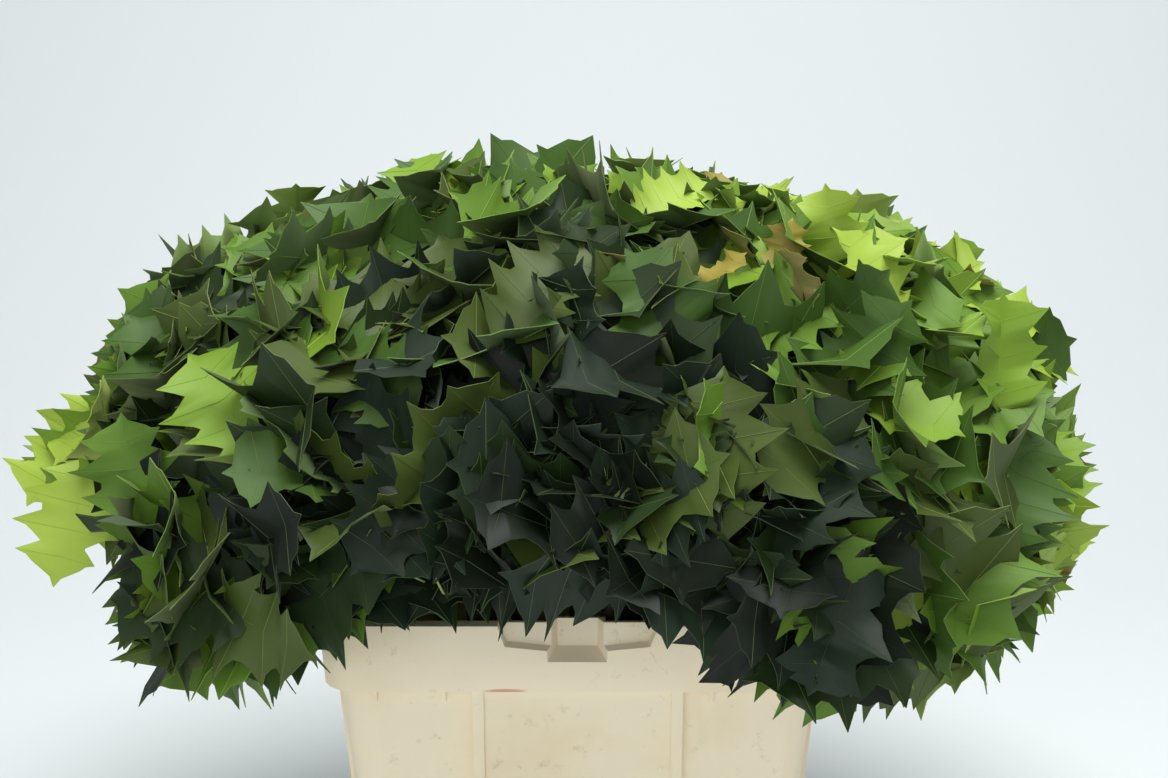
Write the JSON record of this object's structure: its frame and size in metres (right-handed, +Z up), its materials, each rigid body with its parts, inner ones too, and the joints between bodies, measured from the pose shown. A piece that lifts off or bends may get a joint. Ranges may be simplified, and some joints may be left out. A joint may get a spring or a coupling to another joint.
{
  "type": "container of cut red oak foliage",
  "caption": "Dense rounded crown of leafy cut oak branches fanning out of a cream plastic stacking container with a thick rim band, upright ribs and hand grips.",
  "frame": {"origin": "centre of the container's flat underside", "axes": "+Z up, +X along the container's long side to the right of the picture, -Y towards the viewer"},
  "size_m": [0.8822, 0.7507, 0.7187],
  "materials": {
    "container": "cream moulded plastic, satin, scuffed",
    "bark": "grey brown bark of young branches",
    "leaves": "semi-gloss dark to mid green leaves"
  },
  "bodies": {
    "root": {"bough_crest_01": "bark", "bough_shoulder_01": "bark", "bough_shoulder_02": "bark", "bough_shoulder_03": "bark", "bough_shoulder_04": "bark", "bough_shoulder_05": "bark", "bough_shoulder_06": "bark", "bough_shoulder_07": "bark", "bough_shoulder_08": "bark", "bough_shoulder_09": "bark", "bough_skirt_01": "bark", "bough_skirt_02": "bark", "bough_skirt_03": "bark", "bough_skirt_04": "bark", "bough_skirt_05": "bark", "bough_skirt_06": "bark", "bough_skirt_07": "bark", "bough_skirt_08": "bark", "bough_skirt_09": "bark", "bough_skirt_10": "bark", "bough_skirt_11": "bark", "bough_skirt_12": "bark", "bough_skirt_13": "bark", "bough_top_01": "bark", "bough_top_02": "bark", "bough_top_03": "bark", "bough_top_04": "bark", "bough_top_05": "bark", "container": "container", "foliage_crest_01": "leaves", "foliage_shoulder_01": "leaves", "foliage_shoulder_02": "leaves", "foliage_shoulder_03": "leaves", "foliage_shoulder_04": "leaves", "foliage_shoulder_05": "leaves", "foliage_shoulder_06": "leaves", "foliage_shoulder_07": "leaves", "foliage_shoulder_08": "leaves", "foliage_shoulder_09": "leaves", "foliage_skirt_01": "leaves", "foliage_skirt_02": "leaves", "foliage_skirt_03": "leaves", "foliage_skirt_04": "leaves", "foliage_skirt_05": "leaves", "foliage_skirt_06": "leaves", "foliage_skirt_07": "leaves", "foliage_skirt_08": "leaves", "foliage_skirt_09": "leaves", "foliage_skirt_10": "leaves", "foliage_skirt_11": "leaves", "foliage_skirt_12": "leaves", "foliage_skirt_13": "leaves", "foliage_top_01": "leaves", "foliage_top_02": "leaves", "foliage_top_03": "leaves", "foliage_top_04": "leaves", "foliage_top_05": "leaves"}
  },
  "joints": []
}
